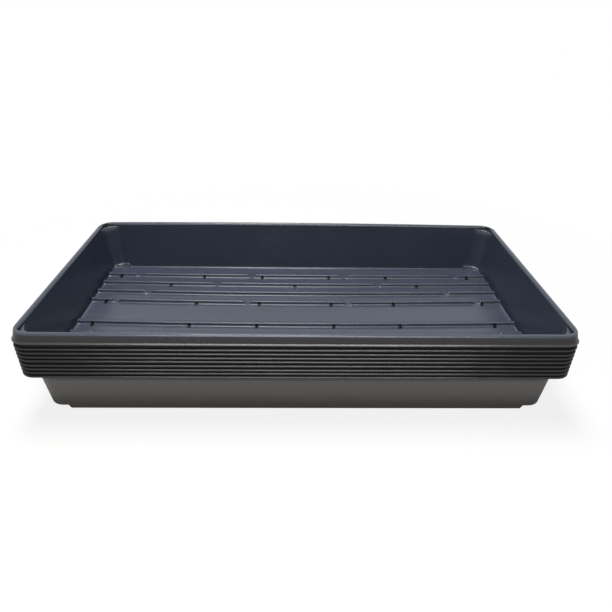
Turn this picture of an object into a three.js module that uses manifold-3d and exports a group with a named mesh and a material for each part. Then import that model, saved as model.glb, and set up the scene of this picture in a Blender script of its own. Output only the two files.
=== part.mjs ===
// A stack of identical seed trays, nested in one another.
// Each tray is one formed plastic sheet: drafted walls, a rim that turns down into a skirt with a
// small lip, and a floor panel that is pressed up between four feet, with ribs and drain holes.
// X runs along the tray, Y across it and Z up, and the origin is under the middle of the lowest tray.

import * as THREE from 'three';
import { mergeVertices } from 'three/addons/utils/BufferGeometryUtils.js';
import Module from 'manifold-3d';

// The tray over its lips, in millimetres
const TRAY_LENGTH = 545;
const TRAY_WIDTH = 277;
const TRAY_HEIGHT = 63.5;

// The sheet, and the nesting: the walls lean outwards, so a tray sinks into the next one until the
// two walls are NEST_CLEARANCE apart
const SHEET = 0.36;
const WALL_DRAFT = 0.105;
const NEST_CLEARANCE = 0.15;
const NEST_PITCH = (SHEET + NEST_CLEARANCE) / WALL_DRAFT;

// The rim: a flat shelf, a skirt that flares as the walls do, and a lip along the skirt's foot
const RIM_SHELF = 5.3;
const SKIRT_DROP = 8.8;
const LIP_REACH = 1.4;
const RIM_CORNER_RADIUS = 6;

// The wall's corners are rounder than the rim's, which leaves a crescent ledge in each corner
const LEDGE_DEPTH = 4;
const LEDGE_STEP = 0.3;
const WALL_CORNER_RADIUS = 20;

// The feet: a gutter along each wall, between the wall and the raised floor panel, that slopes up to
// a pad in each corner
const FOOT_CHAMFER = 1.2;
const PANEL_RISE = 3.6;
const PANEL_LEAN = 2.5;
const SIDE_GUTTER = 10.1;
const END_GUTTER = 4.5;
const CORNER_PAD = 18;
const PAD_LEAN = 4;

// The ribs: rows of straight bars with sloped sides, on both sides of a plain middle band
const RIB_HEIGHT = 2.9;
const RIB_CREST = 5;
const RIB_LEAN = 1.5;
const RIB_SPACING = 22.4;
const RIB_END_MARGIN = 1;
const MIDDLE_BAND = 49.8;

// The gaps that part a rib, set out from the middle of the tray or from the panel's ends
const GAP_WIDTH = 8;
const INNER_GAP = 63;
const MIDWAY_GAP = 107.2;
const GAP_NEAR_END = 28;
const GAP_OFF_END = 40;
const GAP_FAR_FROM_END = 62.5;

// The drain holes, a little in front of their rib, set out in the same two ways but punched a little
// to the left
const HOLE_DIAMETER = 3.4;
const HOLE_SETBACK = 2.5;
const HOLE_SHIFT = -3.3;
const INNER_HOLE = 45.2;
const MIDWAY_HOLE = 123.3;
const OUTER_HOLE = 162.5;
const HOLE_NEAR_END = 19;

// How finely round shapes are cut into flats, and how far a cut runs past what it cuts
const CORNER_STEPS = 3;
const HOLE_SIDES = 6;
const OVERCUT = 1;

// The trays, from the lowest up
const TRAY_NAMES = [
  'bottom_tray',
  'second_tray',
  'third_tray',
  'fourth_tray',
  'fifth_tray',
  'sixth_tray',
  'seventh_tray',
  'eighth_tray',
  'top_tray',
];
const TRAY_COLOUR = 0x3d4043;
const TRAY_ROUGHNESS = 0.42;

// Insets are measured inwards from the lip's edge
const SHELF_INSET = LIP_REACH + WALL_DRAFT * SKIRT_DROP;
const CAVITY_INSET = SHELF_INSET + RIM_SHELF;
const PANEL_HALF_LENGTH = TRAY_LENGTH / 2 - wallInset(PANEL_RISE) - END_GUTTER;
const PANEL_HALF_WIDTH = TRAY_WIDTH / 2 - wallInset(PANEL_RISE) - SIDE_GUTTER;
const RIB_HALF_BASE = RIB_CREST / 2 + RIB_LEAN;
const OVERCUT_SHARE = (PANEL_RISE + OVERCUT) / PANEL_RISE;

const wasm = await Module();
wasm.setup();

// Inset of the cavity's side at height z, above its ledge and below it
function bandInset(z) {
  return CAVITY_INSET + WALL_DRAFT * (TRAY_HEIGHT - z);
}

function wallInset(z) {
  return bandInset(z) + LEDGE_STEP;
}

// Corner radii shrink as the insets grow, so that the sheet is as thick in the corners
function bandRadius(z) {
  return RIM_CORNER_RADIUS - WALL_DRAFT * (TRAY_HEIGHT - z);
}

function wallRadius(z) {
  return WALL_CORNER_RADIUS - WALL_DRAFT * (TRAY_HEIGHT - LEDGE_DEPTH - z);
}

// A closed mesh with only positions, as a solid that can be joined and cut
function solidOf(geometry) {
  const bare = geometry.clone();
  bare.deleteAttribute('normal');
  bare.deleteAttribute('uv');
  const merged = mergeVertices(bare);
  const mesh = new wasm.Mesh({
    numProp: 3,
    vertProperties: new Float32Array(merged.attributes.position.array),
    triVerts: new Uint32Array(merged.index.array),
  });
  return new wasm.Manifold(mesh);
}

function geometryOf(solid) {
  const mesh = solid.getMesh();
  const geometry = new THREE.BufferGeometry();
  geometry.setAttribute('position', new THREE.BufferAttribute(mesh.vertProperties, 3));
  geometry.setIndex(new THREE.BufferAttribute(mesh.triVerts, 1));
  geometry.computeVertexNormals();
  return geometry;
}

// A rectangle with round corners, counter-clockwise, as points at one height
function outline({ inset, z, radius }) {
  const round = Math.max(radius, SHEET);
  const x = TRAY_LENGTH / 2 - inset - round;
  const y = TRAY_WIDTH / 2 - inset - round;
  const corners = [[x, y], [-x, y], [-x, -y], [x, -y]];
  return corners.flatMap(([cornerX, cornerY], corner) => {
    const start = corner * Math.PI / 2;
    const arc = new THREE.EllipseCurve(cornerX, cornerY, round, round, start, start + Math.PI / 2);
    return arc.getPoints(CORNER_STEPS).map((point) => [point.x, point.y, z]);
  });
}

// A block whose side is carried round the tray through a list of outlines, from its floor to its top
function sweptBlock(stations) {
  const rings = stations.map(outline);
  const count = rings[0].length;
  const last = (rings.length - 1) * count;
  const triangles = [];
  for (let ring = 0; ring + 1 < rings.length; ring += 1) {
    for (let i = 0; i < count; i += 1) {
      const a = ring * count + i;
      const b = ring * count + (i + 1) % count;
      triangles.push(a, b, b + count, a, b + count, a + count);
    }
  }
  for (let i = 1; i + 1 < count; i += 1) {
    triangles.push(0, i + 1, i);
    triangles.push(last, last + i, last + i + 1);
  }
  const geometry = new THREE.BufferGeometry();
  geometry.setAttribute('position', new THREE.Float32BufferAttribute(rings.flat(2), 3));
  geometry.setIndex(triangles);
  return solidOf(geometry);
}

// The tray's outside as a full block: up the wall, out under the rim, round the lip and over the shelf
function outerBlock() {
  const under = TRAY_HEIGHT - SHEET;
  const ledge = TRAY_HEIGHT - LEDGE_DEPTH - SHEET;
  const lip = TRAY_HEIGHT - SKIRT_DROP;
  const shelfRadius = RIM_CORNER_RADIUS + RIM_SHELF;
  const skirtRadius = shelfRadius + WALL_DRAFT * SKIRT_DROP;
  const foot = FOOT_CHAMFER;
  return sweptBlock([
    { inset: wallInset(0) - SHEET + foot, z: 0, radius: wallRadius(0) + SHEET - foot },
    { inset: wallInset(foot) - SHEET, z: foot, radius: wallRadius(foot) + SHEET },
    { inset: wallInset(ledge) - SHEET, z: ledge, radius: wallRadius(ledge) + SHEET },
    { inset: bandInset(ledge) - SHEET, z: ledge, radius: bandRadius(ledge) + SHEET },
    { inset: bandInset(under) - SHEET, z: under, radius: bandRadius(under) + SHEET },
    { inset: SHELF_INSET + SHEET, z: under, radius: shelfRadius - SHEET },
    { inset: LIP_REACH + SHEET, z: lip - SHEET, radius: skirtRadius - SHEET },
    { inset: 0, z: lip - SHEET, radius: skirtRadius + LIP_REACH },
    { inset: 0, z: lip, radius: skirtRadius + LIP_REACH },
    { inset: LIP_REACH, z: lip, radius: skirtRadius },
    { inset: SHELF_INSET, z: TRAY_HEIGHT, radius: shelfRadius },
  ]);
}

// The tray's hollow as a full block, running out past the rim
function innerBlock() {
  const ledge = TRAY_HEIGHT - LEDGE_DEPTH;
  const foot = SHEET + FOOT_CHAMFER;
  const mouth = TRAY_HEIGHT + OVERCUT;
  return sweptBlock([
    { inset: wallInset(SHEET) + FOOT_CHAMFER, z: SHEET, radius: wallRadius(SHEET) - FOOT_CHAMFER },
    { inset: wallInset(foot), z: foot, radius: wallRadius(foot) },
    { inset: wallInset(ledge), z: ledge, radius: WALL_CORNER_RADIUS },
    { inset: bandInset(ledge), z: ledge, radius: bandRadius(ledge) },
    { inset: CAVITY_INSET, z: TRAY_HEIGHT, radius: RIM_CORNER_RADIUS },
    { inset: CAVITY_INSET, z: mouth, radius: RIM_CORNER_RADIUS },
  ]);
}

// A box on the sheet's underside whose four sides lean inwards as they rise; from and to are the
// corners of its top
function pressing(from, to, base, top, lean) {
  const size = [to[0] - from[0], to[1] - from[1]];
  const box = new THREE.BoxGeometry(size[0], size[1], top - base);
  const corners = box.attributes.position;
  for (let i = 0; i < corners.count; i += 1) {
    if (corners.getZ(i) < 0) {
      corners.setX(i, corners.getX(i) + Math.sign(corners.getX(i)) * lean);
      corners.setY(i, corners.getY(i) + Math.sign(corners.getY(i)) * lean);
    }
  }
  box.translate((from[0] + to[0]) / 2, (from[1] + to[1]) / 2, (base + top) / 2);
  return solidOf(box);
}

// The floor panel, between the four gutters
function panel() {
  const corner = [PANEL_HALF_LENGTH, PANEL_HALF_WIDTH];
  const opposite = corner.map((size) => -size);
  return pressing(opposite, corner, -OVERCUT, PANEL_RISE, PANEL_LEAN * OVERCUT_SHARE);
}

// The pads that raise the sheet to the panel's height in the tray's corners
function cornerPads() {
  const outer = [TRAY_LENGTH / 2, TRAY_WIDTH / 2];
  const inner = outer.map((half) => half - wallInset(PANEL_RISE) - CORNER_PAD);
  const lean = PAD_LEAN * OVERCUT_SHARE;
  return [[1, 1], [-1, 1], [-1, -1], [1, -1]].map((side) => {
    const ends = side.map((sign, axis) => [sign * inner[axis], sign * outer[axis]].sort((a, b) => a - b));
    return pressing(ends.map((end) => end[0]), ends.map((end) => end[1]), -OVERCUT, PANEL_RISE, lean);
  });
}

// Both sides of the tray's middle, for places set out from the middle or from the panel's ends
function places({ fromMiddle = [], fromEnd = [] }) {
  const right = [...fromMiddle, ...fromEnd.map((distance) => PANEL_HALF_LENGTH - distance)];
  const both = right.flatMap((x) => (x === 0 ? [x] : [-x, x]));
  return both.sort((a, b) => a - b);
}

// The stretches of a rib's crest that its gaps leave between the panel's ends
function ribStretches(gaps) {
  const end = PANEL_HALF_LENGTH - RIB_END_MARGIN - RIB_LEAN;
  const starts = [-end, ...gaps.map((x) => x + GAP_WIDTH / 2)];
  const ends = [...gaps.map((x) => x - GAP_WIDTH / 2), end];
  return starts.map((start, i) => [start, ends[i]]).filter(([start, stop]) => stop > start);
}

function ribsOf({ gaps, y }) {
  const top = PANEL_RISE + RIB_HEIGHT;
  return ribStretches(places(gaps)).map(([start, stop]) => {
    const from = [start, y - RIB_CREST / 2];
    const to = [stop, y + RIB_CREST / 2];
    return pressing(from, to, PANEL_RISE - SHEET / 2, top, RIB_LEAN);
  });
}

function drainHolesOf({ holes, y }) {
  const radius = HOLE_DIAMETER / 2;
  return places(holes).map((x) => {
    const hole = new THREE.CylinderGeometry(radius, radius, SHEET + 2 * OVERCUT, HOLE_SIDES);
    hole.rotateX(Math.PI / 2);
    hole.translate(x + HOLE_SHIFT, y - RIB_HALF_BASE - HOLE_SETBACK, PANEL_RISE + SHEET / 2);
    return solidOf(hole);
  });
}

// The rows of ribs on each side of the middle band, from the middle outwards
const FULL_HOLES = { fromMiddle: [INNER_HOLE, MIDWAY_HOLE], fromEnd: [HOLE_NEAR_END] };
const WIDE_HOLES = { fromMiddle: [0, OUTER_HOLE] };
const ROWS_BEHIND = [
  { gaps: { fromMiddle: [INNER_GAP], fromEnd: [GAP_NEAR_END] }, holes: FULL_HOLES },
  { gaps: { fromEnd: [GAP_FAR_FROM_END] }, holes: {} },
  { gaps: { fromMiddle: [MIDWAY_GAP] }, holes: WIDE_HOLES },
  { gaps: { fromMiddle: [INNER_GAP], fromEnd: [GAP_OFF_END] }, holes: FULL_HOLES },
];
const ROWS_IN_FRONT = [
  { gaps: {}, holes: FULL_HOLES },
  { gaps: { fromEnd: [GAP_NEAR_END] }, holes: {} },
  { gaps: { fromMiddle: [MIDWAY_GAP] }, holes: WIDE_HOLES },
  { gaps: { fromMiddle: [INNER_GAP], fromEnd: [GAP_OFF_END] }, holes: FULL_HOLES },
];

// Rows that the panel is wide enough for, each with its place
function rowsOf(rows, side) {
  return rows
    .map((row, i) => ({ ...row, y: side * (MIDDLE_BAND / 2 + i * RIB_SPACING) }))
    .filter(({ y }) => Math.abs(y) + RIB_HALF_BASE + RIB_END_MARGIN < PANEL_HALF_WIDTH);
}

// One whole tray. What is pressed up from below leaves the outside, and leaves the hollow one sheet
// higher up, so the panel and its ribs are as thick as the walls
function trayGeometry() {
  const rows = [...rowsOf(ROWS_BEHIND, 1), ...rowsOf(ROWS_IN_FRONT, -1)];
  const raised = [panel(), ...cornerPads(), ...rows.flatMap(ribsOf)].reduce((a, b) => a.add(b));
  const outside = outerBlock().subtract(raised);
  const hollow = innerBlock().subtract(raised.translate([0, 0, SHEET]));
  const holes = rows.flatMap(drainHolesOf).reduce((a, b) => a.add(b));
  return geometryOf(outside.subtract(hollow).subtract(holes));
}

const stack = new THREE.Group();
const geometry = trayGeometry();
TRAY_NAMES.forEach((name, level) => {
  const material = new THREE.MeshStandardMaterial({
    color: TRAY_COLOUR,
    roughness: TRAY_ROUGHNESS,
    metalness: 0,
  });
  const tray = new THREE.Mesh(geometry.clone(), material);
  tray.name = name;
  tray.position.z = level * NEST_PITCH;
  stack.add(tray);
});

export default stack;
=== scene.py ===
"""Looks of a stack of nine nested plant growing trays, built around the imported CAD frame.

Every tray is one formed plastic sheet: a ribbed and dished floor panel with punched drain holes, gutters
along the walls, drafted walls with a crescent ledge in each corner, and a rim that turns down into a skirt
with a small lip. Sizes are in millimetres and meshes in metres; X runs along the tray, Y across it, Z up.
"""

import logging
import math
from dataclasses import dataclass, field
from enum import Enum
from typing import Any, Sequence, Union

import bpy
import numpy as np
from mathutils import Matrix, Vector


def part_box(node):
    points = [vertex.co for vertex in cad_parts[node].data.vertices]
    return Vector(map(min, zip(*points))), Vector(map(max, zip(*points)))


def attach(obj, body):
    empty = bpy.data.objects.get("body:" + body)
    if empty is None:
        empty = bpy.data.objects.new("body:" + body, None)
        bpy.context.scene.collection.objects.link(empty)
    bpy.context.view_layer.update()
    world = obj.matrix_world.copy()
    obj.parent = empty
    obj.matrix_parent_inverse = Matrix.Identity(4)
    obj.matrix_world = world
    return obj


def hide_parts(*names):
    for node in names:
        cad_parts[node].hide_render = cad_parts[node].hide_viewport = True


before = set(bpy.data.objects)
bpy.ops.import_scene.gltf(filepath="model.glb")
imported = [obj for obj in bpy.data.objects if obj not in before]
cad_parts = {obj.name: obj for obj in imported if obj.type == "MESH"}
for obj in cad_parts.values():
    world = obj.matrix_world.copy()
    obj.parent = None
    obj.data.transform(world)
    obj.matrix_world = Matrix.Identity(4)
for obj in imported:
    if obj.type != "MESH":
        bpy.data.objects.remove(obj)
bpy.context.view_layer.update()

MM = 0.001
BACK_FACE = "back_face"
DARK_ZONE = "dark_zone"
RIM_SHADE_LEVEL = 0.4  # dark_zone at the rim's full painted shade; above it the shade turns to the grooves' painted black
CORNER_BITE = 1.0 - math.sqrt(0.5)  # how far in from both sides the middle of a corner of radius 1 lies
SHARP_ANGLE = math.radians(50)
WHITE = (1.0, 1.0, 1.0, 1.0)
log = logging.getLogger("trays")


class Slot(Enum):
    """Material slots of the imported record."""

    TRAY_PLASTIC = "tray_plastic"


class Ray(Enum):
    """Rays that see the white surroundings, by their outputs of the Light Path node."""

    CAMERA = "Is Camera Ray"
    GLOSSY = "Is Glossy Ray"
    TRANSMISSION = "Is Transmission Ray"


def smooth_ramp(t: np.ndarray) -> np.ndarray:
    """Cubic step: 0 below t = 0, 1 above t = 1, and 3t^2 - 2t^3 between.

    Args:
        t: Where on the ramp each value lies.

    Returns:
        The height of the ramp there, from 0 to 1.
    """
    t = np.clip(t, 0.0, 1.0)
    return t * t * (3.0 - 2.0 * t)


def mirrored(values: Sequence[float]) -> np.ndarray:
    """Each value with both signs, in rising order and without repeats."""
    array = np.asarray(values, float)
    return np.unique(np.concatenate([-array, array]))


# Shader maths


Operand = Union["Socket", float]


@dataclass(frozen=True)
class Socket:
    """A node socket that takes part in Python arithmetic by adding Math nodes to its tree."""

    tree: "Tree"
    link: Any

    def maths(self, operation: str, *others: Operand) -> "Socket":
        """One Math node with this socket as its first value.

        Args:
            operation: The Math node's operation.
            others: The values or sockets of its further inputs.

        Returns:
            The node's result.
        """
        inputs = dict(enumerate((self, *others)))
        return self.tree.node("ShaderNodeMath", {"operation": operation}, inputs)

    def swapped(self, operation: str, first: float) -> "Socket":
        """One Math node with a number as its first value and this socket as its second."""
        return self.tree.node("ShaderNodeMath", {"operation": operation}, {0: first, 1: self})

    def __add__(self, other: Operand) -> "Socket":
        """Sum of two values."""
        return self.maths("ADD", other)

    def __radd__(self, other: float) -> "Socket":
        """Sum of a number and this value."""
        return self.maths("ADD", other)

    def __sub__(self, other: Operand) -> "Socket":
        """Difference of two values."""
        return self.maths("SUBTRACT", other)

    def __rsub__(self, other: float) -> "Socket":
        """A number less this value."""
        return self.swapped("SUBTRACT", other)

    def __mul__(self, other: Operand) -> "Socket":
        """Product of two values."""
        return self.maths("MULTIPLY", other)

    def __rmul__(self, other: float) -> "Socket":
        """Product of a number and this value."""
        return self.maths("MULTIPLY", other)

    def ramp(self, low: float, high: float) -> "Socket":
        """Smooth step of this value from 0 at low to 1 at high."""
        settings = {"interpolation_type": "SMOOTHSTEP"}
        inputs = {"Value": self, "From Min": low, "From Max": high}
        return self.tree.node("ShaderNodeMapRange", settings, inputs)


@dataclass(frozen=True)
class Tree:
    """A node tree, with one way to add a node of any type, and short forms for common ones."""

    nodes: Any
    links: Any

    def node(self, kind: str, settings: dict, inputs: dict, output: Union[int, str] = 0) -> Socket:
        """Adds a node, sets it up and joins its inputs.

        Args:
            kind: The node's type.
            settings: Its properties, which are set first.
            inputs: Values or sockets by input name or index.
            output: The output that is wanted.

        Returns:
            That output as a socket for arithmetic.
        """
        made = self.nodes.new(kind)
        for name, value in settings.items():
            setattr(made, name, value)
        for key, value in inputs.items():
            if isinstance(value, Socket):
                self.links.new(value.link, made.inputs[key])
            else:
                made.inputs[key].default_value = value
        return Socket(self, made.outputs[output])

    def mix(self, factor: Operand, first: Any, second: Any) -> Socket:
        """Mix of two colours.

        Args:
            factor: 0 gives the first colour and 1 the second.
            first: A colour or a colour socket.
            second: A colour or a colour socket.

        Returns:
            The mixed colour.
        """
        settings = {"data_type": "RGBA", "clamp_factor": True}
        return self.node("ShaderNodeMix", settings, {0: factor, 6: first, 7: second}, 2)

    def noise(self, place: Socket, scale: float, detail: float) -> Socket:
        """Noise about 0.5 at a place, by its scale and its number of finer layers."""
        return self.node("ShaderNodeTexNoise", {}, {"Vector": place, "Scale": scale, "Detail": detail})

    def attribute(self, name: str) -> Socket:
        """A number that the mesh holds at each of its points."""
        return self.node("ShaderNodeAttribute", {"attribute_name": name}, {}, "Fac")


def new_tree(owner: Any) -> Tree:
    """An empty node tree on a material or world."""
    owner.use_nodes = True
    owner.node_tree.nodes.clear()
    return Tree(owner.node_tree.nodes, owner.node_tree.links)


@dataclass(frozen=True)
class FormedPlastic:
    """Dark satin sheet, vacuum formed: fine grain, slow waviness, pale dust and drag marks on its upper face.

    Its back, which shows on the outside of the walls, is rougher, and painted a warmer and lighter grey that
    stands in for the warm bounce light on the outer walls, with painted shade that turns it darker and
    browner towards the foot. The rim's outer side is painted a plainer dark grey as shade, and the grooves
    between the lips, the creases over the corner ledges and the edges of holes are painted shade: matt and
    almost black. All patterns read Object coordinates and the sheet's own attributes, so they stay on the
    tray.
    Heights are in metres, and a pattern's size is its repeats in a metre.
    """

    colour: tuple = (0.0390, 0.0490, 0.0740, 1.0)
    cloud_colour: tuple = (0.0365, 0.0460, 0.0700, 1.0)
    cloud_range: tuple = (0.3, 0.7)
    # Painted light on the back: a lighter, warmer grey for the warm bounce on the outer walls; painted shade
    # at its foot
    back_lit_colour: tuple = (0.1300, 0.1280, 0.1250, 1.0)
    foot_shade_colour: tuple = (0.0620, 0.0540, 0.0460, 1.0)
    # Painted shade: the rim's outer side, and the matt black of the grooves between the lips
    rim_shade_colour: tuple = (0.0340, 0.0320, 0.0335, 1.0)
    groove_shade_colour: tuple = (0.0080, 0.0070, 0.0075, 1.0)
    groove_shade_gloss: float = 0.05
    groove_shade_roughness: float = 0.8
    ior: float = 1.5
    gloss: float = 0.55
    roughness: float = 0.25
    back_roughness: float = 0.22
    roughness_spread: float = 0.10
    grain_size: float = 900.0
    grain_detail: float = 2.0
    grain_height: float = 0.00002
    grain_strength: float = 0.6
    wave_size: float = 14.0
    wave_detail: float = 4.0
    wave_height: float = 0.0010
    dust_colour: tuple = (0.17, 0.18, 0.20, 1.0)
    dust_roughness: float = 0.22
    level_range: tuple = (0.5, 0.95)
    speck_size: float = 210.0
    speck_reach: float = 0.11
    speck_share: float = 0.35
    patch_size: float = 65.1
    patch_detail: float = 2.0
    patch_range: tuple = (0.60, 0.68)
    scuff_size: float = 60.0
    scuff_detail: float = 5.0
    scuff_stretch: tuple = (0.10, 1.0, 1.0)
    scuff_range: tuple = (0.42, 0.78)
    scuff_share: float = 0.055

    def dust(self, tree: Tree, place: Socket) -> Socket:
        """Dust on the faces that look up: specks in loose patches, and a film in marks drawn out along X.

        Args:
            tree: The material's tree.
            place: Object coordinates.

        Returns:
            The dust's share, from 0 to 1.
        """
        facing = tree.node("ShaderNodeNewGeometry", {}, {}, "Normal")
        level = tree.node("ShaderNodeSeparateXYZ", {}, {0: facing}, "Z").ramp(*self.level_range)
        away = tree.node("ShaderNodeTexVoronoi", {}, {"Vector": place, "Scale": self.speck_size}, "Distance")
        patch = tree.noise(place, self.patch_size, self.patch_detail).ramp(*self.patch_range)
        speck = (1.0 - away.ramp(self.speck_reach / 2, self.speck_reach)) * patch
        drawn = tree.node("ShaderNodeMapping", {}, {"Vector": place, "Scale": self.scuff_stretch})
        scuff = tree.noise(drawn, self.scuff_size, self.scuff_detail).ramp(*self.scuff_range)
        return (speck * self.speck_share + scuff * self.scuff_share) * level

    def material(self, name: str) -> bpy.types.Material:
        """Builds the finish.

        Args:
            name: The material's name.

        Returns:
            A node material.
        """
        made = bpy.data.materials.new(name)
        tree = new_tree(made)
        place = tree.node("ShaderNodeTexCoord", {}, {}, "Object")
        back, dark = tree.attribute(BACK_FACE), tree.attribute(DARK_ZONE)
        cloud = tree.noise(place, self.wave_size, self.wave_detail)
        grain = tree.noise(place, self.grain_size, self.grain_detail)
        dust = self.dust(tree, place)
        tint = tree.mix(cloud.ramp(*self.cloud_range), self.cloud_colour, self.colour)
        # Painted shade: the upper face turns to a darker, plainer grey on the rim's outer side
        upper = tree.mix(dark.ramp(0.0, RIM_SHADE_LEVEL), tint, self.rim_shade_colour)
        # The back takes a lighter, warmer grey, painted light for the bounce on the outer walls, turning
        # darker and browner towards the foot as painted shade
        sheet = tree.mix(back, upper, tree.mix(dark, self.back_lit_colour, self.foot_shade_colour))
        rough = self.roughness + (cloud + grain - 1.0) * self.roughness_spread
        rough = rough + dust * self.dust_roughness + back * self.back_roughness
        waves = {"Distance": self.wave_height, "Height": cloud, "Strength": 1.0}
        grains = {"Distance": self.grain_height, "Height": grain, "Strength": self.grain_strength,
                  "Normal": tree.node("ShaderNodeBump", {}, waves)}
        plain = {"Base Color": tree.mix(dust, sheet, self.dust_colour), "Roughness": rough, "IOR": self.ior,
                 "Specular IOR Level": self.gloss, "Normal": tree.node("ShaderNodeBump", {}, grains)}
        groove_shade = {"Base Color": self.groove_shade_colour, "Roughness": self.groove_shade_roughness, "IOR": self.ior,
                  "Specular IOR Level": self.groove_shade_gloss}
        # Painted shade: past the rim's level the sheet turns into a matt, almost black shader in the grooves
        # between the lips, the ledges' creases and round the holes
        shaders = {0: dark.ramp(RIM_SHADE_LEVEL, 1.0) * (1.0 - back),
                   1: tree.node("ShaderNodeBsdfPrincipled", {}, plain),
                   2: tree.node("ShaderNodeBsdfPrincipled", {}, groove_shade)}
        surface(tree, tree.node("ShaderNodeMixShader", {}, shaders))
        return made


def surface(tree: Tree, shader: Socket) -> None:
    """Joins a shader to a new material output of its tree."""
    output = tree.nodes.new("ShaderNodeOutputMaterial")
    tree.links.new(shader.link, output.inputs["Surface"])


# Meshes


@dataclass
class Patch:
    """Vertices and the faces between them, gathered before they go into a mesh."""

    points: list = field(default_factory=list)
    backs: list = field(default_factory=list)
    darks: list = field(default_factory=list)
    quads: list = field(default_factory=list)
    triangles: list = field(default_factory=list)
    count: int = 0

    def add_points(self, points: np.ndarray, back: float, dark: Any = 0.0) -> np.ndarray:
        """Adds an array of points.

        Args:
            points: Any array whose last axis holds x, y and z.
            back: 0 on the sheet's upper face, 1 on its back and 0.5 at its edge.
            dark: The painted shade: on the upper face from the rim's darker grey to the black of the grooves,
            on the back the darkening towards the wall's foot. One number, or an array by point.

        Returns:
            Their indices, in the array's own shape.
        """
        shape = points.shape[:-1]
        total = int(np.prod(shape))
        self.points.append(points.reshape(total, 3))
        self.backs.append(np.full(total, back, np.float32))
        self.darks.append(np.broadcast_to(dark, shape).astype(np.float32).ravel())
        self.count += total
        return np.arange(self.count - total, self.count).reshape(shape)

    def add_strip(self, first: np.ndarray, second: np.ndarray) -> None:
        """Quads between two closed loops of the same length."""
        after = np.roll(first, -1), np.roll(second, -1)
        self.quads.append(np.stack([first, second, after[1], after[0]], axis=-1))

    def mesh(self, name: str) -> bpy.types.Mesh:
        """Makes the mesh, leaving out points that no face uses.

        Args:
            name: The mesh's name.

        Returns:
            A smooth mesh whose steepest edges stay sharp.
        """
        points = np.concatenate(self.points)
        corners = np.concatenate([q.ravel() for q in self.quads] + [t.ravel() for t in self.triangles])
        sizes = np.concatenate([np.full(q.size // 4, 4) for q in self.quads]
                               + [np.full(t.size // 3, 3) for t in self.triangles])
        used, corners = np.unique(corners, return_inverse=True)
        mesh = bpy.data.meshes.new(name)
        mesh.vertices.add(len(used))
        mesh.vertices.foreach_set("co", (points[used] * MM).astype(np.float32).ravel())
        mesh.loops.add(len(corners))
        mesh.loops.foreach_set("vertex_index", corners.astype(np.int32).ravel())
        mesh.polygons.add(len(sizes))
        mesh.polygons.foreach_set("loop_start", (np.cumsum(sizes) - sizes).astype(np.int32))
        mesh.update(calc_edges=True)
        for attribute, values in ((BACK_FACE, self.backs), (DARK_ZONE, self.darks)):
            data = mesh.attributes.new(attribute, "FLOAT", "POINT").data
            data.foreach_set("value", np.concatenate(values)[used])
        mesh.shade_smooth()
        mesh.set_sharp_from_angle(angle=SHARP_ANGLE)
        return mesh


@dataclass(frozen=True)
class HoleSet:
    """Drain holes of a rib row: places along it, and the nine grid lines that they take up in front of it.

    The lines are distances from the rib's middle. One more lies a margin in front of them, so that the dark
    paint of a hole's edge ends close to it.
    """

    places: tuple = ()
    lines: tuple = (2.62, 2.98, 3.5, 3.85, 4.35, 5.0, 5.7, 6.4, 7.1)
    margin: float = 0.6
    same_line: float = 0.01

    @property
    def middle(self) -> float:
        """How far in front of the rib's middle the holes' centres lie."""
        return (self.lines[0] + self.lines[-1]) / 2

    @property
    def half_length(self) -> float:
        """Half of the holes' length across the rib."""
        return (self.lines[-1] - self.lines[0]) / 2

    def merged(self, section: np.ndarray) -> np.ndarray:
        """The holes' lines, the one in front of them, and those of the rib's section that lie outside."""
        if not self.places:
            return section
        outside = np.abs(section - self.middle) > self.half_length + self.same_line
        return np.concatenate([section[outside], self.lines, [self.lines[-1] + self.margin]])


@dataclass(frozen=True)
class RibSection:
    """A rib's section: distances from its middle and heights, in front of it and behind it."""

    front: tuple = ((1.6, 4.0), (1.9, 3.9), (2.15, 3.65), (2.4, 3.32), (2.62, 2.45), (2.98, 0.95),
                    (3.5, 0.26), (3.85, 0.06), (4.35, 0.0), (5.0, 0.0))
    behind: tuple = ((1.6, 4.0), (2.1, 3.75), (2.5, 2.80), (2.9, 0.80), (3.3, 0.12), (3.8, 0.0), (4.4, 0.0))

    def height(self, d: np.ndarray) -> np.ndarray:
        """Height at a distance behind the rib's middle, straight between the section's points."""
        return np.where(d < 0, np.interp(-d, *zip(*self.front)), np.interp(d, *zip(*self.behind)))

    def lines(self, holes: HoleSet) -> np.ndarray:
        """Grid lines across a rib with some drain holes, as distances behind its middle."""
        front = holes.merged(np.array([d for d, _ in self.front]))
        return np.concatenate([-front, [0.0], [d for d, _ in self.behind]])


@dataclass(frozen=True)
class RibRow:
    """One row of the floor's ribs: its place across the tray, its gaps and its drain holes along it."""

    y: float
    gaps: tuple
    holes: HoleSet


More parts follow.
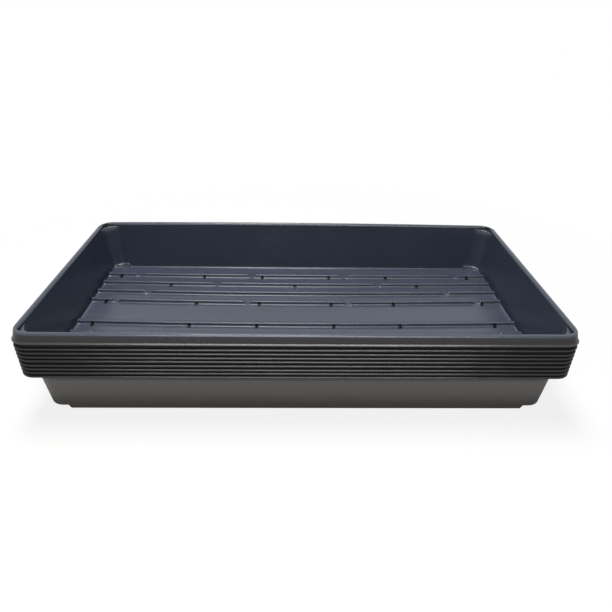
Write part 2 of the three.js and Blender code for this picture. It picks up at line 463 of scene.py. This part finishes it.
@dataclass(frozen=True)
class RibPattern:
    """The rows of ribs on both sides of the floor's plain middle band."""

    shift: float = -1.2
    spacing: float = 22.39
    middle_band: float = 49.78
    inner_gap: float = 63.0
    midway_gap: float = 107.2
    far_gap: float = 191.2
    off_gap: float = 213.6
    near_gap: float = 225.6
    full_holes: HoleSet = HoleSet((-238.0, -126.7, -48.3, 42.0, 119.8, 231.5),
                                  (2.4, 2.62, 2.98, 3.5, 3.85, 4.35, 5.2, 6.2, 7.2))
    wide_holes: HoleSet = HoleSet((-167.0, -4.0, 158.0))

    def rows(self) -> list[RibRow]:
        """The eight rows, from the front of the tray to its back."""
        behind = [
            ((self.inner_gap, self.near_gap), self.full_holes),
            ((self.far_gap,), HoleSet()),
            ((self.midway_gap,), self.wide_holes),
            ((self.inner_gap, self.off_gap), self.full_holes),
        ]
        in_front = [((), self.full_holes), ((self.near_gap,), HoleSet()), *behind[2:]]
        places = self.middle_band / 2 + self.spacing * np.arange(len(behind))
        rows = [RibRow(self.shift + y, gaps, holes) for y, (gaps, holes) in zip(places, behind)]
        rows += [RibRow(self.shift - y, gaps, holes) for y, (gaps, holes) in zip(places, in_front)]
        return sorted(rows, key=lambda row: row.y)


@dataclass(frozen=True)
class FloorPanel:
    """The raised floor panel: a shallow dish with ribs, gaps and holes on a grid with round corners.

    Grid lines lie closer together round the holes, across the gaps' ends and where the corner pads end.
    """

    half_length: float
    half_width: float
    level: float
    dish: float = 3.26
    corner: float = 10.0
    corner_lines: int = 7
    lift: float = 0.9
    lift_run: float = 4.5
    section: RibSection = RibSection()
    gap_half: float = 2.2
    gap_slant: float = 0.3
    gap_slant_reach: float = 5.0
    gap_run: float = 3.6
    gap_lines: tuple = (1.6, 2.8, 4.0, 5.2, 6.6)
    hole_half_width: float = 2.0
    hole_lines: int = 5
    hole_margin: float = 0.6
    line_step: float = 17.0
    line_gap: float = 0.7
    pad_lines_x: tuple = (235.5, 236.5, 237.5, 238.5, 239.5, 240.5, 241.5)
    pad_lines_y: tuple = (101.0, 104.0, 107.5)
    pattern: RibPattern = RibPattern()

    @property
    def hole_columns(self) -> np.ndarray:
        """Offsets of the grid lines that a hole takes up along the rib."""
        return np.linspace(-1.0, 1.0, self.hole_lines) * self.hole_half_width

    def spread(self, half: float) -> np.ndarray:
        """Evenly spread lines between the round corners of one direction, and the corners' own lines."""
        straight = half - self.corner
        count = int(round(2 * straight / self.line_step)) + 1
        corner = straight + self.corner * np.arange(1, self.corner_lines + 1) / self.corner_lines
        return np.unique(np.concatenate([np.linspace(-straight, straight, count), mirrored(corner)]))

    def merged(self, fixed: np.ndarray, loose: np.ndarray) -> np.ndarray:
        """Fixed lines together with the loose ones that keep clear of them."""
        clear = np.abs(loose[:, None] - fixed[None, :]).min(1) > self.line_gap
        return np.unique(np.concatenate([fixed, loose[clear]]))

    def lines(self) -> tuple[np.ndarray, np.ndarray, np.ndarray, np.ndarray]:
        """Grid lines of the panel.

        Returns:
            The lines along X and Y, and for each which of them run on up the walls.
        """
        rows = self.pattern.rows()
        holes = np.unique(np.concatenate([row.holes.places for row in rows]))
        gaps = mirrored(np.unique(np.concatenate([row.gaps for row in rows if row.gaps])))
        across = mirrored(self.gap_lines)
        beside = np.concatenate([self.hole_columns, mirrored([self.hole_half_width + self.hole_margin])])
        fixed_x = np.unique((holes[:, None] + beside).ravel())
        loose_x = np.concatenate([self.spread(self.half_length), mirrored(self.pad_lines_x)])
        loose_y = np.concatenate([self.spread(self.half_width), mirrored(self.pad_lines_y)])
        walls_x = self.merged(fixed_x, loose_x)
        x = self.merged(walls_x, (gaps[:, None] + across).ravel())
        fixed_y = np.unique(np.concatenate([row.y + self.section.lines(row.holes) for row in rows]))
        y = self.merged(fixed_y, loose_y)
        keep_x = np.isin(x, loose_x) | (np.abs(x) > self.pad_lines_x[0])
        keep_y = np.isin(y, loose_y) | (np.abs(y) > self.pad_lines_y[0])
        return x, y, keep_x, keep_y

    def rounded(self, x: np.ndarray, y: np.ndarray) -> tuple[np.ndarray, np.ndarray, np.ndarray, np.ndarray]:
        """How far along the straight sides points lie, and which way they lie from the round corners.

        Within a corner's square, u and v from 0 to 1 become a quarter disc: u sqrt(1 - v^2/2) and
        v sqrt(1 - u^2/2).

        Args:
            x: Places along the tray.
            y: Places across it.

        Returns:
            The shares of the straight half sides, and the two parts of the way out from the corner's centre.
        """
        straight_x, straight_y = self.half_length - self.corner, self.half_width - self.corner
        u = np.clip((np.abs(x) - straight_x) / self.corner, 0.0, 1.0)
        v = np.clip((np.abs(y) - straight_y) / self.corner, 0.0, 1.0)
        out_x = np.sign(x) * u * np.sqrt(1.0 - v * v / 2)
        out_y = np.sign(y) * v * np.sqrt(1.0 - u * u / 2)
        return np.clip(x / straight_x, -1, 1), np.clip(y / straight_y, -1, 1), out_x, out_y

    def height(self, x: np.ndarray, y: np.ndarray) -> np.ndarray:
        """Height of the panel's upper face.

        The dish is its depth times (1 - (x/a)^2)(1 - (y/b)^2), and the panel's edge is lifted by a parabola.
        A rib adds its section, cut by cubic ramps at each gap.

        Args:
            x: Places along the tray.
            y: Places across it.

        Returns:
            The heights above the surface that the tray stands on.
        """
        edge_x = np.clip(1.0 - (x / self.half_length) ** 2, 0.0, 1.0)
        edge_y = np.clip(1.0 - (y / self.half_width) ** 2, 0.0, 1.0)
        relief = self.lift * np.clip(1.0 - self.inside(x, y) / self.lift_run, 0.0, 1.0) ** 2
        for row in self.pattern.rows():
            d = y - row.y
            rib = self.section.height(d)
            for gap in row.gaps:
                reach = np.clip(d, -self.gap_slant_reach, self.gap_slant_reach)
                open_to = self.gap_half + self.gap_slant * reach
                rib = rib * smooth_ramp((np.abs(np.abs(x) - gap) - open_to) / self.gap_run)
            relief = np.maximum(relief, rib)
        return self.level - self.dish * edge_x * edge_y + relief

    def inside(self, x: np.ndarray, y: np.ndarray) -> np.ndarray:
        """Distance from the panel's edge: to its nearest side, and in the corners to the corner's arc.

        Args:
            x: Places along the tray.
            y: Places across it.

        Returns:
            The distances, rising inwards.
        """
        u = np.abs(x) - (self.half_length - self.corner)
        v = np.abs(y) - (self.half_width - self.corner)
        return self.corner - np.where((u > 0) & (v > 0), np.hypot(u, v), np.maximum(u, v))


@dataclass(frozen=True)
class TraySheet:
    """One tray: sizes of its walls and rim, and the closed shell that they and the floor make.

    The ledge's section is points as (share of the way across the ledge, rise above it). The rim's outer edge
    and the lip are points as (inset from the shelf's edge or the lip's, drop below the rim's top, tilt of
    the face in degrees).
    """

    length: float
    width: float
    height: float
    sheet: float = 0.36
    draft: float = 0.105
    rim_shelf: float = 5.3
    skirt_drop: float = 8.8
    lip_reach: float = 1.4
    rim_corner: float = 6.0
    ledge_depth: float = 4.0
    ledge_step: float = 0.3
    ledge: tuple = ((0.03, -0.25), (0.12, -0.06), (0.3, -0.01), (0.7, 0.01), (0.93, 0.06), (1.0, 0.3))
    wall_corner: float = 20.0
    wall_margin: float = 0.6
    wall_steps: int = 7
    panel_rise: float = 4.59
    side_gutter: float = 10.1
    end_gutter: float = 3.14
    gutter_steps: tuple = (0.06, 0.13, 0.2, 0.27, 0.34, 0.42, 0.5, 0.65, 0.82)
    gutter_slope: float = 0.5
    pad_x: float = 239.8
    pad_y: float = 111.0
    pad_run: float = 2.6
    foot_round: float = 2.2
    foot_turn: float = 84.0
    foot_steps: int = 7
    inner_round: float = 2.5
    inner_steps: int = 8
    outer_edge: tuple = ((1.90, 0.0, 0), (1.48, 0.08, 20), (1.14, 0.30, 42), (0.76, 0.73, 49),
                         (0.36, 1.20, 51), (0.12, 1.58, 66), (0.02, 2.0, 82))
    lip: tuple = ((1.45, 8.35, 84), (1.37, 8.52, 68), (1.18, 8.74, 50), (0.84, 9.10, 46),
                  (0.46, 9.52, 49), (0.16, 9.90, 60), (0.02, 10.15, 80), (0.0, 10.3, 90))
    # Painted shade: where it starts and how it ramps on the rim, in the grooves, round holes and in the
    # ledges' creases; the lip's edge gets less
    rim_shade_drop: float = 0.64
    rim_shade_run: float = 1.6
    groove_drop: float = 3.52
    groove_run: float = 2.0
    lip_shine: float = 0.35
    hole_shade: float = 1.8
    crease_shade: float = 1.4
    crease_drop: float = 1.2
    crease_run: float = 1.0
    crease_overlap: float = 0.05
    crease_edge: float = 0.15
    crease_reach: float = 30.0
    crease_fade: float = 12.0
    # Painted shade on the back reaches up to this height above the foot
    foot_shade_height: float = 28.0

    @property
    def shelf_inset(self) -> float:
        """Inset of the rim shelf's outer edge from the lip's edge."""
        return self.lip_reach + self.draft * self.skirt_drop

    @property
    def cavity_inset(self) -> float:
        """Inset of the rim shelf's inner edge."""
        return self.shelf_inset + self.rim_shelf

    def wall_inset(self, z: Any) -> Any:
        """Inset of the wall's inner face at height z."""
        return self.cavity_inset + self.ledge_step + self.draft * (self.height - z)

    def wall_radius(self, z: Any) -> Any:
        """Corner radius of the wall's inner face at height z."""
        return self.wall_corner - self.draft * (self.height - self.ledge_depth - z)

    def panel(self) -> FloorPanel:
        """The floor panel that fits between the gutters."""
        level = self.panel_rise + self.sheet
        inset = self.wall_inset(level)
        half_length = self.length / 2 - inset - self.end_gutter
        half_width = self.width / 2 - inset - self.side_gutter
        return FloorPanel(half_length, half_width, level)

    def stations(self, panel: FloorPanel, gutter: np.ndarray) -> np.ndarray:
        """The upper face's section, from the panel's edge over wall, ledge and rim to the lip.

        Args:
            panel: The floor panel.
            gutter: For each point round the tray, 1 where the gutter is pressed down and 0 on the pads.

        Returns:
            An array of six rows (inset of the ends, inset of the sides, corner radius, height, and the two
            parts of the way to the under face), by station, by point round the tray.
        """
        one = np.ones_like(gutter)
        foot = panel.level - self.panel_rise * gutter
        curve = self.foot_round
        parts = []

        def put(*rows: Any) -> None:
            """Adds stations by their six rows, each spread round the tray."""
            parts.append(np.stack(np.broadcast_arrays(*[row * one for row in rows])))

        # The gutter: across it, the sheet drops from the panel's edge by a cubic ramp
        t = np.array(self.gutter_steps)[:, None]
        inset = self.wall_inset(panel.level)
        start_x, start_y = inset + self.end_gutter, inset + self.side_gutter
        end_inset, end_radius = self.wall_inset(foot) + curve, self.wall_radius(foot) - curve
        drop = self.panel_rise * gutter * smooth_ramp(t / self.gutter_slope)
        put(start_x + (end_inset - start_x) * t, start_y + (end_inset - start_y) * t,
            panel.corner + (end_radius - panel.corner) * t, panel.level - drop, 0 * t, -1 + 0 * t)

        # The fillet at the wall's foot, and the wall up to the ledge
        a = np.radians(np.linspace(0, self.foot_turn, self.foot_steps))[:, None]
        z = foot + curve * (1 - np.cos(a))
        aside = curve * (1 - np.sin(a))
        put(self.wall_inset(z) + aside, self.wall_inset(z) + aside, self.wall_radius(z) - aside, z,
            -np.sin(a), -np.cos(a))
        ledge = self.height - self.ledge_depth
        s = np.linspace(0, 1, self.wall_steps + 1)[1:, None]
        z = (foot + curve) * (1 - s) + (ledge - self.wall_margin) * s
        put(self.wall_inset(z), self.wall_inset(z), self.wall_radius(z), z, -1 + 0 * s, 0 * s)

        # The ledge: in the corners the wall's round corner gives way to the rim's
        e, rise = np.array(self.ledge).T[:, :, None]
        wall = self.wall_inset(ledge)
        rim_radius = self.rim_corner + self.cavity_inset - wall
        put(wall + 0 * e, wall + 0 * e, self.wall_corner + (rim_radius - self.wall_corner) * e, ledge + rise,
            -1 + 0 * e, -1 + 0 * e)

        # The rim: a quarter of an ellipse up to the shelf, then the outer edge, the skirt and the lip
        a = np.radians(np.linspace(0, 90, self.inner_steps + 1))[1:, None]
        wide, high = self.inner_round, self.ledge_depth - self.ledge[-1][1]
        lean = np.arctan2(wide * np.sin(a), high * np.cos(a))
        inset = wall - wide * (1 - np.cos(a))
        put(inset, inset, rim_radius + (wall - inset) / CORNER_BITE, self.height - high * (1 - np.sin(a)),
            -np.cos(lean), -np.sin(lean))
        edge_corner = rim_radius + wide / CORNER_BITE + wall - wide
        lip_corner = (edge_corner + self.rim_corner + self.cavity_inset) / 2
        outside = ((self.shelf_inset, edge_corner, self.outer_edge), (0.0, lip_corner, self.lip))
        for start, corner, section in outside:
            aside, drop, tilt = np.array(section).T[:, :, None]
            inset, tilt = start + aside, np.radians(tilt)
            put(inset, inset, corner - inset, self.height - drop, np.sin(tilt), -np.cos(tilt))
        return np.concatenate(parts, axis=1)

    def mesh(self, name: str) -> bpy.types.Mesh:
        """The whole tray as one closed shell, standing at height 0.

        The floor is two grids one sheet apart with rings of points pulled in round each hole. The wall and
        rim are stations carried round the tray, up on the inside and back down one sheet further out.

        Args:
            name: The mesh's name.

        Returns:
            The mesh, in metres.
        """
        panel, patch = self.panel(), Patch()
        lines_x, lines_y, keep_x, keep_y = panel.lines()
        flat_x, flat_y = np.meshgrid(lines_x, lines_y, indexing="ij")
        holes, solid = self.hole_rings(panel, lines_x, lines_y)
        share_x, share_y, out_x, out_y = panel.rounded(flat_x, flat_y)
        x = share_x * (panel.half_length - panel.corner) + panel.corner * out_x
        y = share_y * (panel.half_width - panel.corner) + panel.corner * out_y
        ring_i, ring_j, ring_x, ring_y = holes
        x[ring_i, ring_j], y[ring_i, ring_j] = ring_x, ring_y
        z = panel.height(x, y)
        # Painted shade: the points round each hole are marked to turn matt and almost black
        painted_shade = np.zeros_like(x)
        painted_shade[ring_i, ring_j] = self.hole_shade
        top = patch.add_points(np.stack([x, y, z], axis=-1), 0.0, painted_shade)
        under = patch.add_points(np.stack([x, y, z - self.sheet], axis=-1), 1.0)
        cells = np.stack([top[:-1, :-1], top[1:, :-1], top[1:, 1:], top[:-1, 1:]], axis=-1)[solid]
        patch.quads.append(cells)
        patch.quads.append((cells + under[0, 0] - top[0, 0])[:, ::-1])
        ring = ring_i, ring_j
        after = np.roll(ring_i, -1, axis=1), np.roll(ring_j, -1, axis=1)
        patch.quads.append(np.stack([top[ring], top[after], under[after], under[ring]], axis=-1))

        # The points of the grid's edge that run on up the walls, and the wall's and rim's stations there
        loop_i, loop_j = self.grid_edge(len(lines_x), len(lines_y))
        on_side = (loop_j == 0) | (loop_j == len(lines_y) - 1)
        on_end = (loop_i == 0) | (loop_i == len(lines_x) - 1)
        keep = np.where(on_side & ~on_end, keep_x[loop_i], keep_y[loop_j]) | (on_side & on_end)
        kept = np.flatnonzero(keep)
        side = smooth_ramp((self.pad_x - np.abs(lines_x[loop_i])) / self.pad_run) * on_side
        end = smooth_ramp((self.pad_y - np.abs(lines_y[loop_j])) / self.pad_run) * on_end
        shares = [a[loop_i, loop_j][kept] for a in (share_x, share_y, out_x, out_y)]
        inset_x, inset_y, radius, height, aside, down = self.stations(panel, np.maximum(side, end)[kept])

        def rings(thickness: float) -> np.ndarray:
            """Points of all stations, moved by a thickness towards the under face."""
            move = thickness * aside
            round_off = radius - move
            straight_x = self.length / 2 - inset_x - move - round_off
            straight_y = self.width / 2 - inset_y - move - round_off
            x = shares[0] * straight_x + round_off * shares[2]
            y = shares[1] * straight_y + round_off * shares[3]
            return np.stack([x, y, height + thickness * down], axis=-1)

        upper, lower = rings(0.0), rings(self.sheet)
        tip = (upper[-1] + lower[-1]) / 2 - [0, 0, self.sheet / 3]
        # Painted shade on the upper face: the rim's darker grey, the grooves' black and the ledges' creases
        dark = self.paint(upper, inset_y)
        # Painted shade on the back: darker and browner towards the wall's foot
        foot_shade = smooth_ramp(1.0 - height / self.foot_shade_height)
        loops = [patch.add_points(upper, 0.0, dark), patch.add_points(tip, 0.5, dark[-1])[None],
                 patch.add_points(lower, 1.0, foot_shade)[::-1]]
        body = np.concatenate(loops)
        for first, second in zip(body[:-1], body[1:]):
            patch.add_strip(first, second)
        self.zip_loops(patch, top[loop_i, loop_j], body[0], keep, False)
        self.zip_loops(patch, under[loop_i, loop_j], body[-1], keep, True)
        return patch.mesh(name)

    def paint(self, upper: np.ndarray, inset: np.ndarray) -> np.ndarray:
        """How much painted shade the wall's and rim's upper face gets.

        Outside the rim the painted shade rises with the drop below the rim's top by two cubic ramps, to the
        rim's darker grey and on to the black of the grooves between the lips, and the lip's edge is left
        lighter. Inside, only the creases over the corner ledges get painted shade: ramps of the drop times
        ramps towards the tray's ends and sides.

        Args:
            upper: The face's points, by station, by point round the tray.
            inset: The insets of its stations.

        Returns:
            The painted shade, by station, by point round the tray.
        """
        drop = self.height - upper[..., 2]
        rim = smooth_ramp((drop - self.rim_shade_drop) / self.rim_shade_run)
        groove_shade = smooth_ramp((drop - self.groove_drop) / self.groove_run)
        shine = self.lip_shine * smooth_ramp(2.0 - 2.0 * inset / self.lip_reach)
        # The crease over each corner ledge is painted black as shade
        crease = smooth_ramp((drop - self.crease_drop) / self.crease_run)
        crease = crease * smooth_ramp((self.ledge_depth + self.crease_overlap - drop) / self.crease_edge)
        for axis, size in enumerate((self.length, self.width)):
            inside = size / 2 - np.abs(upper[..., axis])
            crease = crease * smooth_ramp((self.crease_reach - inside) / self.crease_fade)
        outside = inset < self.shelf_inset + self.outer_edge[0][0]
        rim = (RIM_SHADE_LEVEL * rim + (1.0 - RIM_SHADE_LEVEL) * groove_shade) * (1.0 - shine)
        return np.where(outside, rim, self.crease_shade * crease)

    @staticmethod
    def grid_edge(columns: int, rows: int) -> tuple[np.ndarray, np.ndarray]:
        """The edge of a grid as one loop.

        Args:
            columns: How many columns the grid has.
            rows: How many rows it has.

        Returns:
            Column and row indices, from the first corner along the first row and round.
        """
        i, j = np.arange(columns), np.arange(rows)
        loop_i = np.concatenate([i, np.full(rows - 2, i[-1]), i[::-1], np.zeros(rows - 2, int)])
        loop_j = np.concatenate([0 * i, j[1:-1], np.full(columns, j[-1]), j[-2:0:-1]])
        return loop_i, loop_j

    @staticmethod
    def zip_loops(patch: Patch, fine: np.ndarray, coarse: np.ndarray, keep: np.ndarray, under: bool) -> None:
        """Faces between a fine loop and a coarse one that goes on from some of its points.

        Args:
            patch: The patch that takes the faces.
            fine: Indices of the fine loop, from one of the kept points.
            coarse: Indices of the coarse loop.
            keep: Which points of the fine loop go on.
            under: Whether the faces look down.
        """
        owner = (np.cumsum(keep) - 1) % len(coarse)
        after, next_owner = np.roll(fine, -1), np.roll(owner, -1)
        step = owner != next_owner
        quads = np.stack([fine, coarse[owner], coarse[next_owner], after], axis=-1)[step]
        fans = np.stack([fine, coarse[owner], after], axis=-1)[~step]
        patch.quads.append(quads[:, ::-1] if under else quads)
        patch.triangles.append(fans[:, ::-1] if under else fans)

    @staticmethod
    def hole_rings(panel: FloorPanel, lines_x: np.ndarray, lines_y: np.ndarray) -> tuple[tuple, np.ndarray]:
        """The grid points round each drain hole, moved on to its oval, and the cells that stay solid.

        A hole's block of cells is a square from -1 to 1 both ways; its edge (u, v) becomes the circle
        u sqrt(1 - v^2/2), v sqrt(1 - u^2/2), which is then stretched to the oval.

        Args:
            panel: The floor panel.
            lines_x: Its grid lines along X.
            lines_y: Its grid lines along Y.

        Returns:
            Column indices, row indices, x and y by hole and by point round it; and a mask of solid cells.
        """
        holes = [(x, row) for row in panel.pattern.rows() for x in row.holes.places]
        middle_x = np.array([[x] for x, _ in holes])
        middle_y = np.array([[row.y - row.holes.middle] for _, row in holes])
        half = np.array([[row.holes.half_length] for _, row in holes])
        across = np.array([row.y - np.array(row.holes.lines[::-1]) for _, row in holes])
        wide, long = len(panel.hole_columns) - 1, across.shape[1] - 1
        i, j = np.arange(wide + 1), np.arange(long + 1)
        ring_i = np.concatenate([i[:-1], np.full(long, wide), i[:0:-1], np.zeros(long, int)])
        ring_j = np.concatenate([np.zeros(wide, int), j[:-1], np.full(wide, long), j[:0:-1]])
        u = panel.hole_columns[ring_i] / panel.hole_half_width
        v = (across[:, ring_j] - middle_y) / half
        first_i = np.abs(lines_x[None, :] - (middle_x + panel.hole_columns[0])).argmin(1)
        first_j = np.abs(lines_y[None, :] - (middle_y - half)).argmin(1)
        x = middle_x + panel.hole_half_width * u * np.sqrt(1 - v * v / 2)
        y = middle_y + half * v * np.sqrt(1 - u * u / 2)
        solid = np.ones((len(lines_x) - 1, len(lines_y) - 1), bool)
        block_i, block_j = np.meshgrid(i[:-1], j[:-1], indexing="ij")
        solid[first_i[:, None] + block_i.ravel(), first_j[:, None] + block_j.ravel()] = False
        return (first_i[:, None] + ring_i, first_j[:, None] + ring_j, x, y), solid


@dataclass(frozen=True)
class NestedTray:
    """One tray of the stack: its body and node in the frame, how it settled, and how strongly its painted
    shade shows.
    """

    name: str
    settled: float
    sway: float
    phase: float
    sway_rate: float = 7.0
    settle_rate: float = 4.0
    bow_out: float = 2.0
    bow_up: float = 1.0
    bow_front: float = 0.7
    rim_band: float = 11.0
    # How strongly the painted shade shows on this tray
    painted_shade: float = 1.0

    def place(self, shell: bpy.types.Mesh, finish: bpy.types.Material) -> bpy.types.Object:
        """Puts a copy of the shell where the tray's CAD node is.

        Everything moves by a share: the height over the wall's height under the rim's band, squared and at
        most 1, so the rim moves as one. It strays up and down along the tray by the sway times
        sin(rate x + phase). Its long sides bow outwards, and the back one up, by a parabola along the tray.

        Args:
            shell: The tray's shell, standing at height 0.
            finish: Its material.

        Returns:
            The piece, riding on its body.
        """
        low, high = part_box(self.name)
        mesh = shell.copy()
        mesh.name = self.name + "_sheet"
        points = np.zeros(len(mesh.vertices) * 3, np.float32)
        mesh.vertices.foreach_get("co", points)
        points = points.reshape(-1, 3)
        share = np.clip(points[:, 2] / (high.z - low.z - self.rim_band * MM), 0, 1) ** 2
        wave = np.sin(self.sway_rate * points[:, 0] + self.phase) * self.sway * share
        sunk = self.settled * np.clip(share * self.settle_rate, 0, 1)
        bow = share * (1.0 - (points[:, 0] / high.x) ** 2)
        front = bow * smooth_ramp(-points[:, 1] / high.y)
        rear = bow * smooth_ramp(points[:, 1] / high.y)
        points[:, 1] += (self.bow_out * rear - self.bow_front * front) * MM
        points[:, 2] += low.z + (sunk + wave + self.bow_up * rear) * MM
        mesh.vertices.foreach_set("co", points.ravel())
        # Painted shade, scaled for this tray: the top tray, with no tray above it, takes less
        dark = np.zeros(len(points), np.float32)
        mesh.attributes[DARK_ZONE].data.foreach_get("value", dark)
        mesh.attributes[DARK_ZONE].data.foreach_set("value", dark * self.painted_shade)
        mesh.materials.append(finish)
        mesh.update()
        piece = bpy.data.objects.new(self.name + "_sheet", mesh)
        bpy.context.scene.collection.objects.link(piece)
        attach(piece, self.name)
        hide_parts(self.name)
        return piece


@dataclass(frozen=True)
class TrayStack:
    """The nine trays, from the lowest up, with how far each sits off its even place."""

    trays: tuple = (
        NestedTray("bottom_tray", 0.0, 0.10, 0.3),
        NestedTray("second_tray", -0.36, 0.12, 1.9),
        NestedTray("third_tray", -0.80, 0.12, 4.4),
        NestedTray("fourth_tray", -0.95, 0.25, 0.9),
        NestedTray("fifth_tray", -0.68, 0.08, 3.3),
        NestedTray("sixth_tray", -1.1, 0.08, 5.6),
        NestedTray("seventh_tray", -1.38, 0.18, 2.4),
        NestedTray("eighth_tray", -1.3, 0.20, 0.2),
        NestedTray("top_tray", 0.0, 0.10, 4.0, painted_shade=0.55),
    )
    finish: FormedPlastic = FormedPlastic()

    def build(self) -> list[bpy.types.Object]:
        """Builds the shell once and places it for every tray.

        Returns:
            The nine pieces.
        """
        low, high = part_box(self.trays[0].name)
        size = (high - low) / MM
        shell = TraySheet(size.x, size.y, size.z).mesh("tray_shell")
        plastic = self.finish.material("formed_plastic")
        pieces = [tray.place(shell, plastic) for tray in self.trays]
        bpy.data.meshes.remove(shell)
        return pieces


# The studio


@dataclass(frozen=True)
class Viewpoint:
    """The photograph's camera: lens in millimetres, turns in degrees and place in the frame's millimetres."""

    lens: float = 30.0600
    pitch: float = 31.3913
    yaw: float = 1.4956
    roll: float = -1.1181
    place: tuple = (-4.1324, -528.1018, 373.9393)
    sensor: float = 36.0
    clip: tuple = (0.01, 50.0)

    def build(self) -> bpy.types.Object:
        """Makes the camera, which becomes the scene's active one.

        Returns:
            The camera.
        """
        pitch, yaw, roll = np.radians([self.pitch, self.yaw, self.roll])
        ahead = np.array([np.sin(yaw) * np.cos(pitch), np.cos(yaw) * np.cos(pitch), -np.sin(pitch)])
        level = np.array([np.cos(yaw), -np.sin(yaw), 0.0])
        below = np.cross(ahead, level)
        right = np.cos(roll) * level + np.sin(roll) * below
        down = -np.sin(roll) * level + np.cos(roll) * below
        lens = bpy.data.cameras.new("camera")
        lens.lens, lens.sensor_width, lens.sensor_fit = self.lens, self.sensor, "HORIZONTAL"
        lens.clip_start, lens.clip_end = self.clip
        camera = bpy.data.objects.new("camera", lens)
        turn = np.eye(4)
        turn[:3, 0], turn[:3, 1], turn[:3, 2], turn[:3, 3] = right, -down, -ahead, np.array(self.place) * MM
        camera.matrix_world = Matrix(turn.tolist())
        bpy.context.scene.collection.objects.link(camera)
        bpy.context.scene.camera = camera
        return camera


@dataclass(frozen=True)
class Softbox:
    """A rectangular soft light that looks at a point, in metres and watts."""

    name: str
    place: tuple
    aim: tuple
    size: tuple
    power: float
    colour: tuple = WHITE[:3]
    steep: float = 0.95

    def build(self) -> bpy.types.Object:
        """Makes the light.

        Returns:
            The light's object.
        """
        lamp = bpy.data.lights.new(self.name, "AREA")
        lamp.shape, lamp.size, lamp.size_y = "RECTANGLE", *self.size
        lamp.energy, lamp.color = self.power, self.colour
        light = bpy.data.objects.new(self.name, lamp)
        place, aim = np.array(self.place), np.array(self.aim)
        back = (place - aim) / np.linalg.norm(place - aim)
        side = np.cross([0.0, 1.0, 0.0] if abs(back[2]) > self.steep else [0.0, 0.0, 1.0], back)
        side = side / np.linalg.norm(side)
        turn = np.eye(4)
        turn[:3, 0], turn[:3, 1], turn[:3, 2], turn[:3, 3] = side, np.cross(back, side), back, place
        light.matrix_world = Matrix(turn.tolist())
        bpy.context.scene.collection.objects.link(light)
        return light


@dataclass(frozen=True)
class Studio:
    """White surroundings, a pale floor that keeps the shadow, and soft lights, in metres."""

    floor_half: float = 6.0
    floor_drop: float = 0.0002
    floor_glow: float = 0.8
    fade_range: tuple = (0.3, 0.7)
    floor_colour: tuple = (0.92, 0.91, 0.89, 1.0)
    floor_bounce: tuple = (0.55, 0.54, 0.53, 1.0)
    world_colour: tuple = (1.0, 0.99, 0.97, 1.0)
    world_light: float = 0.03
    lights: tuple = (
        Softbox("overhead", (-0.16, 0.28, 1.7), (0.0, 0.0, 0.05), (0.6, 0.8), 29.0),
        Softbox("front", (0.0, -1.0, 1.0), (0.0, 0.0, 0.05), (1.2, 0.16), 8.5),
        Softbox("left", (-1.25, 0.0, 0.8), (0.0, 0.0, 0.05), (0.5, 0.5), 0.4),
    )

    def seen(self, tree: Tree) -> Socket:
        """1 for rays from the camera and for reflected and refracted ones, and 0 for the rest."""
        rays = [tree.node("ShaderNodeLightPath", {}, {}, ray.value) for ray in Ray]
        return rays[0].maths("MAXIMUM", rays[1]).maths("MAXIMUM", rays[2])

    def build(self) -> None:
        """Makes the world, the floor and the lights, and sets the plain view transform."""
        scene = bpy.context.scene
        scene.view_settings.view_transform = "Standard"
        world = scene.world or bpy.data.worlds.new("surroundings")
        scene.world = world
        tree = new_tree(world)
        seen = self.seen(tree)
        colour = tree.mix(seen, self.world_colour, WHITE)
        strength = self.world_light + seen * (1.0 - self.world_light)
        shader = tree.node("ShaderNodeBackground", {}, {"Color": colour, "Strength": strength})
        output = tree.nodes.new("ShaderNodeOutputWorld")
        tree.links.new(shader.link, output.inputs["Surface"])
        self.build_floor()
        for light in self.lights:
            light.build()

    def build_floor(self) -> bpy.types.Object:
        """A wide pale floor. The camera sees it glow, and far from the object it fades into the white.

        Returns:
            The floor.
        """
        corner = np.array([[-1, -1, 0], [1, -1, 0], [1, 1, 0], [-1, 1, 0]]) * self.floor_half
        mesh = bpy.data.meshes.new("floor")
        mesh.from_pydata((corner - [0, 0, self.floor_drop]).tolist(), [], [[0, 1, 2, 3]])
        floor = bpy.data.objects.new("floor", mesh)
        material = bpy.data.materials.new("pale_floor")
        tree = new_tree(material)
        place = tree.node("ShaderNodeTexCoord", {}, {}, "Object")
        away = tree.node("ShaderNodeVectorMath", {"operation": "LENGTH"}, {0: place}, "Value")
        camera = tree.node("ShaderNodeLightPath", {}, {}, Ray.CAMERA.value)
        pale = tree.mix(camera, self.floor_bounce, self.floor_colour)
        matt = tree.node("ShaderNodeBsdfDiffuse", {}, {"Color": pale})
        glow = tree.node("ShaderNodeEmission", {}, {"Color": WHITE, "Strength": 1.0})
        fade = (self.floor_glow + away.ramp(*self.fade_range) * (1.0 - self.floor_glow)) * camera
        surface(tree, tree.node("ShaderNodeMixShader", {}, {0: fade, 1: matt, 2: glow}))
        mesh.materials.append(material)
        bpy.context.scene.collection.objects.link(floor)
        return floor


def main() -> None:
    """Builds the camera, the stack of trays and the studio."""
    logging.basicConfig(level=logging.INFO, format="%(name)s: %(message)s")
    Viewpoint().build()
    for piece in TrayStack().build():
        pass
    Studio().build()


if __name__ == "__main__":
    main()
